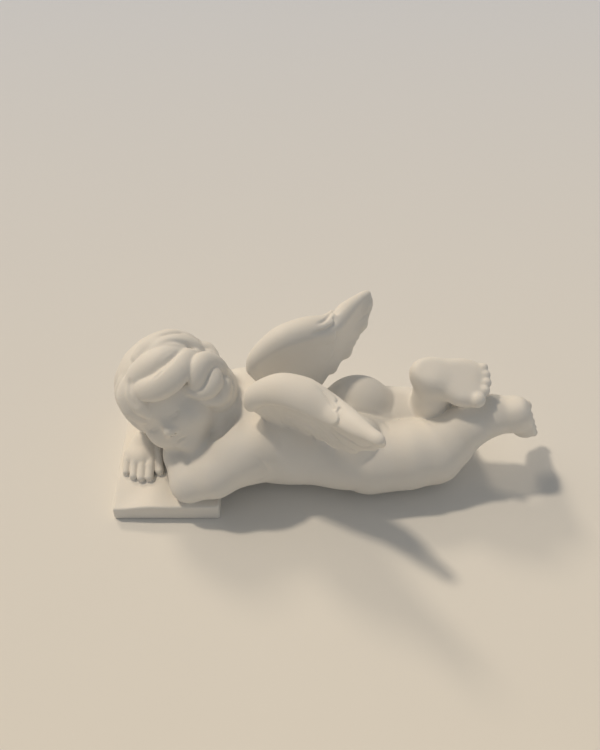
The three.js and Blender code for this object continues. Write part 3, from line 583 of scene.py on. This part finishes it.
# The rolled edge, from its root to its tip, with its radius, and the edge where the feathers end
LEADING_EDGE = [
    ((-25.2, 8, 38), 2.2), ((-23, 8.6, 43.4), 3.3), ((-15.5, 11.2, 48.5), 4.7), ((-7, 14.8, 48.9), 5.0),
    ((0, 19.0, 47.4), 4.2), ((6, 25.8, 48.9), 3.0), ((11.2, 31.6, 50.2), 1.5), ((13.8, 34, 50.6), 1.0),
]
TRAILING_EDGE = [
    (-20, 7.5, 32), (-16.5, 7.4, 29.5), (-12, 7.5, 27.2), (-6, 10.5, 27.3), (-1.5, 13.7, 27.6),
    (3, 18.6, 29.7), (8, 23, 33), (13.2, 28.7, 42.2), (14, 32.8, 48.5),
]
EDGES_HALF_SPAN = 35.2  # how far out these edges reach, before they are fitted to HALF_SPAN
WINGS_ACROSS = 0.3  # how far both wings are moved towards the far side, and up
WINGS_UP = 0.2
ROLL_FACING = (-0.1, 0.5, 0.86)  # the way in which a rolled edge is flat
FEATHERS = 8
COVERTS = 3
RIBS = 40


# Lines on the wings: places as s and t in the wing and the height over its middle surface, and how they are
# cut. The inner face is the one towards the other wing.
INNER_LINES = [
    ([(0.40, -0.10, 4.7), (0.44, -0.12, 4.6), (0.50, -0.14, 4.2), (0.56, -0.17, 3.4), (0.585, -0.19, 2.4),
      (0.575, -0.2, 1.0)],
     step_down(0.8, 1.5, 0.3, 0.15)),
    ([(0.44, 0.15, 4.6), (0.50, 0.17, 4.3), (0.55, 0.18, 4.0), (0.575, 0.09, 4.3), (0.56, -0.04, 4.5)],
     step_down(0.6, 1.3, 0.35, 0.1)),
    ([(0.46, 0.46, 3.4), (0.51, 0.52, 2.9), (0.55, 0.52, 2.8), (0.565, 0.38, 3.3)],
     step_down(0.32, 1.2, 0.4, 0.3)),
    ([(0.97, 1.0, 1.4), (0.90, 0.72, 1.6), (0.80, 0.42, 2.2), (0.68, 0.18, 3.4)],
     groove(0.25, 0.5, 0.1, 0.5)),
    ([(0.93, 0.98, 1.2), (0.84, 0.7, 1.6), (0.74, 0.42, 2.4), (0.63, 0.24, 3.4)],
     groove(0.16, 0.5, 0.1, 0.6)),
    ([(0.82, 1.0, 1.2), (0.76, 0.75, 1.6), (0.68, 0.55, 2.4), (0.6, 0.45, 3.0)],
     groove(0.12, 0.5, 0.1, 0.6)),
    ([(0.68, 1.0, 1.2), (0.63, 0.8, 1.7), (0.57, 0.65, 2.4)], groove(0.1, 0.5, 0.1, 0.6)),
]
OUTER_LINES = [
    ([(0.97, 0.95, 1.0), (0.90, 0.62, 1.4), (0.80, 0.34, 1.7), (0.70, 0.22, 2.2), (0.62, 0.10, 3.4)],
     step_down(0.35, 1.2, 0.1, 0.5)),
    ([(0.88, 0.96, 1.0), (0.80, 0.72, 1.3), (0.70, 0.50, 1.8), (0.58, 0.36, 2.6), (0.5, 0.25, 3.6)],
     step_down(0.55, 1.3, 0.05, 0.4)),
    ([(0.76, 0.97, 1.0), (0.68, 0.76, 1.4), (0.58, 0.56, 2.0), (0.48, 0.40, 3.0)],
     step_down(0.5, 1.3, 0.05, 0.4)),
    ([(0.64, 0.97, 1.1), (0.57, 0.78, 1.5), (0.47, 0.56, 2.4), (0.38, 0.40, 3.4)],
     step_down(0.4, 1.3, 0.05, 0.4)),
    ([(0.51, 0.97, 1.1), (0.45, 0.78, 1.6), (0.37, 0.55, 2.6)], step_down(0.35, 1.2, 0.05, 0.4)),
    ([(0.38, 0.97, 1.1), (0.33, 0.78, 1.7), (0.27, 0.55, 2.7)], step_down(0.3, 1.2, 0.05, 0.4)),
    ([(0.25, 0.97, 1.2), (0.21, 0.78, 1.8), (0.17, 0.55, 2.7)], step_down(0.25, 1.2, 0.05, 0.4)),
]
# on the rolled edge, the height is towards the other wing
ROLL_LINES = [
    ([(0.44, -0.17, 2.8), (0.50, -0.18, 2.0), (0.55, -0.18, 0.7), (0.61, -0.16, -0.9)],
     groove(0.6, 0.5, 0.4, 0.05)),
    ([(0.61, 0.06, -4.3), (0.635, -0.03, -4.0), (0.645, -0.09, -3.2), (0.64, -0.13, -1.8),
      (0.615, -0.16, -0.8), (0.62, -0.17, 1.5)],
     step_down(0.9, 1.9, 0.15, 0.1)),
]


def wing_lines(clay, side, in_wing, face_on):
    """Cuts the lines. In the mirrored wing a path's right-hand side lies the other way, so its profiles are
    mirrored too."""
    inner = -side * face_on

    def draw(lines, lift, swapped):
        for places, profile in lines:
            path = curve([in_wing(s, t) + h * lift for s, t, h in places], 6)
            clay.relief(path, mirrored(profile) if swapped else profile, 0.9, 3.0)

    draw(INNER_LINES, inner, side < 0)
    draw(OUTER_LINES, -inner, side > 0)
    draw(ROLL_LINES, inner, side > 0)


def wing(clay, side, droop, full):
    """The wing on one side, its tip lowered by droop. full is the share of the leading edge's radius that
    the web takes up there. Where that is under 1, a flatter roll lies along the edge as well."""
    root = LEADING_EDGE[0][0][1]
    spread = (HALF_SPAN - root) / (EDGES_HALF_SPAN - root)

    def placed(p):
        fall = droop * ((p[1] - root) / (HALF_SPAN - root)) ** 5
        return p[0], side * (root + (p[1] - root) * spread) + WINGS_ACROSS, p[2] + WINGS_UP - fall

    lead = curve([placed(p) for p, _ in LEADING_EDGE], 6)
    trail = curve([placed(p) for p in TRAILING_EDGE], 6)
    radii = [r for _, r in LEADING_EDGE]

    def in_wing(s, t):
        """A point of the wing: s from its root to its tip, t from its leading to its trailing edge."""
        return along(lead, s) * (1 - t) + along(trail, s) * t

    spanwise, chordwise = in_wing(0.6, 0.5) - in_wing(0.3, 0.5), in_wing(0.5, 0.8) - in_wing(0.5, 0.3)
    face_on = unit(np.cross(spanwise, chordwise))

    def facing(_):
        return face_on

    # flight feathers, each a long flat leaf that ends just past the trailing edge
    leaves = []
    for i in range(FEATHERS):
        s = i / (FEATHERS - 1)
        path = [in_wing(0.1 + 0.72 * s, 0.2), in_wing(0.09 + 0.82 * s, 0.6), in_wing(0.06 + 0.92 * s, 0.95)]
        wide = 4.2 - 1.8 * s
        leaves += strand(path, (wide, wide, wide * 0.8), facing, FEATHER_RADIUS / wide)
    clay.group(leaves, 0.3, 1.5)

    # the thin web under the feathers, which thickens to the leading edge, and the roll along that
    web = []
    for s in np.arange(RIBS + 1) / RIBS:
        r = along(radii, s)
        lowered = in_wing(s, 0) - (1 - full) * r * vec((0, side * 1.25, 1.1))
        web.append(Limb(lowered, in_wing(s, 0.93), full * r, FEATHER_RADIUS * 0.8))
    clay.group(web, 1.2, 1.2)
    if full < 1:
        over = unit((ROLL_FACING[0], side * ROLL_FACING[1], ROLL_FACING[2]))
        spine = lead[::3]
        widths = [along(radii, s) for s in np.arange(len(spine)) / (len(spine) - 1)]
        clay.group(strand(spine, widths, lambda _: over, 0.62), 1.0, 1.0)

    # the short feathers that cover the roots of the long ones, ending in rounded scallops
    covers = []
    for i in range(COVERTS):
        t = 0.12 + 0.3 * i
        end = in_wing(0.6 - 0.05 * i, t + 0.06)
        covers.append(Limb(in_wing(0.3, t), end, 4.4 - 0.5 * i, 3 - 0.2 * i, face_on, 0.62))
    clay.group(covers, 0.8, 0.5)
    wing_lines(clay, side, in_wing, face_on)


# The slab, and how deep and how far around it one corner of its top is worn

WORN_DEPTH = 1.3
WORN_WIDTH = 11.0


class Slab:
    """The slab under the arms: a box with softened edges, its top a little worn towards one corner."""

    def __init__(self, lo, hi, r):
        self.lo, self.hi, self.r = vec(lo), vec(hi), r

    def distance(self, x, y, z):
        c, e = (self.lo + self.hi) / 2, (self.hi - self.lo) / 2 - self.r
        worn = WORN_DEPTH * np.exp(-((x - self.lo[0]) ** 2 + (y - self.lo[1]) ** 2) / WORN_WIDTH ** 2)
        uneven = 0.16 * np.sin(x / 4.1 + 1) * np.sin(y / 5.3) + 0.1 * np.sin(x / 2.2 - y / 3.1)
        top = worn + uneven
        qx, qy = np.abs(x - c[0]) - e[0], np.abs(y - c[1]) - e[1]
        qz = np.where(z > c[2], z - c[2] - e[2] + top, c[2] - z - e[2])
        out = np.sqrt(np.maximum(qx, 0) ** 2 + np.maximum(qy, 0) ** 2 + np.maximum(qz, 0) ** 2)
        return out + np.minimum(np.maximum(np.maximum(qx, qy), qz), 0) - self.r


# The whole figure, and the box that its grid fills

GRID_LOW = (-80, -44, -2)
GRID_HIGH = (84, 46, 60)


def figure(step):
    clay = Clay(GRID_LOW, GRID_HIGH, step)
    torso(clay)
    legs(clay)
    foot(clay, FAR_ANKLE + (1.0, 0, 0), (1, -0.11, -0.1), (-0.1, -0.42, 0.9), (0, -1, 0), 1.02)
    foot(clay, NEAR_ANKLE + (1.2, 1.4, -1.0), (0.36, 0.38, -0.80), (0.88, -0.02, 0.5), (0, 1, 0), 0.88)
    arms(clay)
    head(clay)
    face_lines(clay)
    body_lines(clay)
    hair(clay)
    hair_lines(clay)
    wing(clay, -1, 0, 0.72)
    wing(clay, 1, 1.4, 1)
    clay.group([Slab(SLAB_LOW, SLAB_HIGH, 0.7)], 0, 0.8)
    hand(clay)
    # nothing goes below the surface that the figure lies on
    under = -(clay.start[2] + np.arange(clay.field.shape[2])) * step
    clay.field = np.maximum(clay.field, under[None, None, :].astype(np.float32))
    return clay


def surface(clay):
    """Surface nets: one point in each cell that the surface crosses, one quad for each crossed edge."""
    d = clay.field
    inside = d < 0
    n = np.array(d.shape)
    corners = [(i, j, k) for i in (0, 1) for j in (0, 1) for k in (0, 1)]
    cells = np.zeros(n - 1, np.uint8)
    for i, j, k in corners:
        cells += inside[i:n[0] - 1 + i, j:n[1] - 1 + j, k:n[2] - 1 + k]
    active = (cells > 0) & (cells < 8)
    idx = np.argwhere(active)
    ids = np.full(cells.shape, -1, np.int32)
    ids[tuple(idx.T)] = np.arange(len(idx))
    value = {c: d[idx[:, 0] + c[0], idx[:, 1] + c[1], idx[:, 2] + c[2]] for c in corners}
    total = np.zeros((len(idx), 3))
    count = np.zeros(len(idx))
    for c in corners:
        for axis in range(3):
            if c[axis]:
                continue
            other = tuple(1 if k == axis else c[k] for k in range(3))
            a, b = value[c], value[other]
            hit = (a < 0) != (b < 0)
            t = np.where(hit, a / np.where(hit, a - b, 1), 0)
            point = np.tile(vec(c), (len(idx), 1))
            point[:, axis] += t
            total += point * hit[:, None]
            count += hit
    points = (clay.start + idx + total / count[:, None]) * clay.step
    quads = []
    for axis in range(3):
        u, v = (axis + 1) % 3, (axis + 2) % 3
        near = [slice(1, -1)] * 3
        near[axis] = slice(0, -1)
        far = list(near)
        far[axis] = slice(1, None)
        a, b = inside[tuple(near)], inside[tuple(far)]
        for crossed, flip in ((a & ~b, False), (~a & b, True)):
            edge = np.argwhere(crossed) + np.array([0 if k == axis else 1 for k in range(3)])
            ring = []
            for du, dv in ((0, 0), (1, 0), (1, 1), (0, 1)):
                cell = edge.copy()
                cell[:, u] -= 1 - du
                cell[:, v] -= 1 - dv
                ring.append(ids[tuple(cell.T)])
            quad = np.stack(ring, 1)
            quads.append(quad[:, ::-1] if flip else quad)
    return points, np.concatenate(quads)


# The mesh

FINE_STEP = 0.32
SMOOTHING_ROUNDS = 2
SMOOTHING_SHARE = 0.5
MOST_TRIANGLES = 190000


def smoothed(points, quads, rounds, share):
    """Points moved a share of the way to the middle of their neighbours, to even out the grid's steps."""
    a = np.concatenate([quads[:, i] for i in range(4)])
    b = np.concatenate([quads[:, (i + 1) % 4] for i in range(4)])
    number = np.bincount(a, minlength=len(points)).astype(float)
    for _ in range(rounds):
        middle = np.stack([np.bincount(a, points[b, i], len(points)) for i in range(3)], 1) / number[:, None]
        points = points + share * (middle - points)
    return points


def mesh_object(name, points, quads):
    mesh = bpy.data.meshes.new(name)
    mesh.vertices.add(len(points))
    mesh.vertices.foreach_set("co", points.astype(np.float32).ravel())
    mesh.loops.add(len(quads) * 4)
    mesh.loops.foreach_set("vertex_index", quads.astype(np.int32).ravel())
    mesh.polygons.add(len(quads))
    mesh.polygons.foreach_set("loop_start", np.arange(0, len(quads) * 4, 4, dtype=np.int32))
    mesh.update(calc_edges=True)
    mesh.validate()
    piece = bpy.data.objects.new(name, mesh)
    bpy.context.scene.collection.objects.link(piece)
    return piece


def decimated(piece, most):
    """The piece with at most that many triangles, and smooth shading."""
    bpy.context.view_layer.objects.active = piece
    bpy.ops.object.select_all(action="DESELECT")
    piece.select_set(True)
    triangles = 2 * len(piece.data.polygons)
    if triangles > most:
        fewer = piece.modifiers.new("fewer", "DECIMATE")
        fewer.ratio = most / triangles
        bpy.ops.object.modifier_apply(modifier=fewer.name)
    piece.data.polygons.foreach_set("use_smooth", np.ones(len(piece.data.polygons), bool))
    return piece


def angel():
    """The figure as one mesh in metres, on the floor, with the middle of its outline at the origin."""
    step = FINE_STEP
    points, quads = surface(figure(step))
    points = smoothed(points, quads, SMOOTHING_ROUNDS, SMOOTHING_SHARE)
    lowest = points[:, 2].min()
    points[:, 2] -= lowest
    middle = (points.min(0) + points.max(0)) / 2
    points -= (middle[0], middle[1], 0)
    piece = mesh_object("bisque_angel", points * MM, quads)
    return decimated(piece, MOST_TRIANGLES)


# Materials

class Nodes:
    """A material's nodes, added and linked in one line each."""

    def __init__(self, name):
        self.material = bpy.data.materials.new(name)
        self.material.use_nodes = True
        self.tree = self.material.node_tree
        self.shader = self.tree.nodes["Principled BSDF"]

    def node(self, kind, settings=None, **inputs):
        """A new node. An input goes by its name, with _ for a space, or by i and its number, as in i0."""
        made = self.tree.nodes.new(kind)
        for key, value in (settings or {}).items():
            setattr(made, key, value)
        for key, value in inputs.items():
            numbered = key[0] == "i" and key[1:].isdigit()
            self.feed(made.inputs[int(key[1:]) if numbered else key.replace("_", " ")], value)
        return made

    def feed(self, socket, value):
        """Links an output to a socket, or sets the socket to a plain value."""
        if isinstance(value, bpy.types.NodeSocket):
            self.tree.links.new(value, socket)
        else:
            socket.default_value = value

    def ramp(self, fac, stops):
        """Grey values by position."""
        made = self.node("ShaderNodeValToRGB", Fac=fac)
        elements = made.color_ramp.elements
        for element, (position, value) in zip(elements, stops):
            element.position = position
            element.color = (value, value, value, 1)
        return made.outputs["Color"]

    def mix(self, fac, a, b):
        """A blend of two colours, each an output or a plain colour."""
        made = self.node("ShaderNodeMix", {"data_type": "RGBA"})
        for index, value in ((0, fac), (6, a), (7, b)):
            self.feed(made.inputs[index], (*value, 1) if isinstance(value, tuple) else value)
        return made.outputs[2]

    def calc(self, operation, a, b):
        return self.node("ShaderNodeMath", {"operation": operation}, i0=a, i1=b).outputs[0]

    def noise(self, where, scale, detail, roughness):
        made = self.node("ShaderNodeTexNoise", Vector=where, Scale=scale, Detail=detail, Roughness=roughness)
        return made.outputs["Fac"]

    def link(self, output, name):
        self.tree.links.new(output, self.shader.inputs[name])


BISQUE = (0.800, 0.775, 0.730)
BISQUE_WARM = (0.785, 0.750, 0.690)
# painted shade: the darker colour that the deep lines and creases take on
BISQUE_PAINTED_SHADE = (0.56, 0.50, 0.42)
PAINTED_SHADE_SHARE = 0.35  # how much of the painted shade colour the deepest lines take on
SPECK = (0.10, 0.08, 0.06)
SPECK_FREE = 0.993  # the share of the cells that have no speck
PAPER = (0.805, 0.780, 0.725)
PAPER_CLOUD = (0.780, 0.755, 0.705)
# painted light falloff: the darker, cooler colour that the floor takes on away from the camera
PAPER_PAINTED_FALLOFF = (0.68, 0.715, 0.78)
FALLOFF_FROM, FALLOFF_TO = -0.1, 0.42  # where painted light falloff makes the floor darker and cooler, in metres along Y


def bisque():
    """Unglazed white porcelain: a fine dry grain, faint clouds of colour, painted shade darkening the deep
    lines and creases, and a few specks."""
    m = Nodes("bisque")
    where = m.node("ShaderNodeTexCoord").outputs["Object"]
    clouds = m.noise(where, 38.0, 4.0, 0.55)
    base = m.mix(m.ramp(clouds, [(0.35, 0.0), (0.72, 1.0)]), BISQUE, BISQUE_WARM)
    # painted shade: the deep lines and creases, found by how sharply the surface bends, are darkened
    bends = m.node("ShaderNodeNewGeometry").outputs["Pointiness"]
    deep = m.ramp(bends, [(0.40, 1.0), (0.485, 0.0)])
    base = m.mix(m.calc("MULTIPLY", deep, PAINTED_SHADE_SHARE), base, BISQUE_PAINTED_SHADE)
    cells = m.node("ShaderNodeTexVoronoi", Vector=where, Scale=420.0)
    chance = m.node("ShaderNodeSeparateColor", Color=cells.outputs["Color"]).outputs[0]
    chosen = m.calc("GREATER_THAN", chance, SPECK_FREE)
    dot = m.ramp(cells.outputs["Distance"], [(0.05, 1.0), (0.12, 0.0)])
    m.link(m.mix(m.calc("MULTIPLY", chosen, dot), base, SPECK), "Base Color")
    grain = m.noise(where, 2600.0, 3.0, 0.6)
    soft = m.noise(where, 230.0, 3.0, 0.5)
    fine = m.node("ShaderNodeBump", Height=grain, Strength=0.10, Distance=0.0002).outputs["Normal"]
    both = m.node("ShaderNodeBump", Height=soft, Strength=0.10, Distance=0.0006, Normal=fine)
    m.link(both.outputs["Normal"], "Normal")
    m.link(m.ramp(clouds, [(0.3, 0.56), (0.75, 0.66)]), "Roughness")
    shader = m.shader.inputs
    shader["Subsurface Weight"].default_value = 0.06
    shader["Subsurface Radius"].default_value = (1.0, 0.8, 0.6)
    shader["Subsurface Scale"].default_value = 0.0005
    shader["Specular IOR Level"].default_value = 0.35
    return m.material


def paper():
    """The plain pale floor, warm near the camera, with painted light falloff that makes it darker and cooler
    away from it.
    """
    m = Nodes("floor")
    where = m.node("ShaderNodeTexCoord").outputs["Object"]
    near = m.mix(m.noise(where, 14.0, 5.0, 0.6), PAPER, PAPER_CLOUD)
    # painted light falloff: the floor darkens and cools along Y, away from the camera
    along_y = m.node("ShaderNodeSeparateXYZ", Vector=where).outputs["Y"]
    away = m.node("ShaderNodeMapRange", Value=along_y, From_Min=FALLOFF_FROM, From_Max=FALLOFF_TO)
    m.link(m.mix(away.outputs["Result"], near, PAPER_PAINTED_FALLOFF), "Base Color")
    m.shader.inputs["Roughness"].default_value = 0.85
    m.shader.inputs["Specular IOR Level"].default_value = 0.2
    return m.material


# Floor, light and camera

# Lamps: name, where the light comes from, strength, colour and width in degrees
LAMPS = [
    ("high", (-0.50, 0.30, 1.0), 1.28, (1.0, 0.85, 0.66), 5),
    ("behind", (-0.62, 1.02, 1.0), 0.70, (1.0, 0.84, 0.64), 11),
    ("broad", (-0.60, 0.45, 0.85), 0.30, (1.0, 0.86, 0.68), 45),
    ("front", (0.0, -0.74, 0.67), 0.10, (0.97, 0.99, 1.0), 80),
    ("right", (0.90, -0.15, 0.45), 0.16, (0.95, 0.99, 1.0), 80),
]
ROOM_COLOUR = (0.96, 0.98, 1.0, 1)
ROOM_STRENGTH = 0.225
FLOOR_SIZE = 6  # in metres
CAMERA_AT = (-10.0, -199.4, 243.2)  # in millimetres
CAMERA_DOWN = 45  # in degrees
FOCAL_PIXELS = 870
FRAME_PIXELS = 600
SENSOR = 36  # in millimetres
SEEN_FROM, SEEN_TO = 0.01, 20  # in metres from the camera


def floor():
    bpy.ops.mesh.primitive_plane_add(size=FLOOR_SIZE)
    plane = bpy.context.object
    plane.name = "floor"
    plane.data.materials.append(paper())


def turned_along(direction):
    """The rotation that turns a lamp, which shines down its own -Z, along a direction."""
    return Vector(direction).to_track_quat("-Z", "Y").to_euler()


def lights():
    for name, source, strength, colour, width in LAMPS:
        data = bpy.data.lights.new(name, "SUN")
        data.energy = strength
        data.color = colour
        data.angle = math.radians(width)
        made = bpy.data.objects.new(name, data)
        made.rotation_euler = turned_along([-c for c in source])
        bpy.context.scene.collection.objects.link(made)
    world = bpy.data.worlds.new("room")
    world.use_nodes = True
    background = world.node_tree.nodes["Background"].inputs
    background["Color"].default_value = ROOM_COLOUR
    background["Strength"].default_value = ROOM_STRENGTH
    bpy.context.scene.world = world


def camera():
    data = bpy.data.cameras.new("camera")
    data.sensor_fit = "HORIZONTAL"
    data.sensor_width = SENSOR
    data.lens = SENSOR * FOCAL_PIXELS / FRAME_PIXELS
    data.clip_start = SEEN_FROM
    data.clip_end = SEEN_TO
    made = bpy.data.objects.new("camera", data)
    made.location = [MM * c for c in CAMERA_AT]
    made.rotation_euler = (math.radians(CAMERA_DOWN), 0, 0)
    bpy.context.scene.collection.objects.link(made)
    bpy.context.scene.camera = made


# The scene

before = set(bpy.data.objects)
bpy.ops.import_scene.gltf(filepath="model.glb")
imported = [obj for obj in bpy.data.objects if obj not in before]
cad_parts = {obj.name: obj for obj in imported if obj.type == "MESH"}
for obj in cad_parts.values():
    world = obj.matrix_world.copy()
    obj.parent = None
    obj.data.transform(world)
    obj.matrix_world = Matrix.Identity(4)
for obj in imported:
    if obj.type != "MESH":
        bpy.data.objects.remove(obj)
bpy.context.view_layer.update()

figurine = angel()
figurine.data.materials.append(bisque())
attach(figurine, "root")
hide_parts("angel_figurine")

floor()
lights()
camera()
bpy.context.scene.view_settings.view_transform = "Standard"
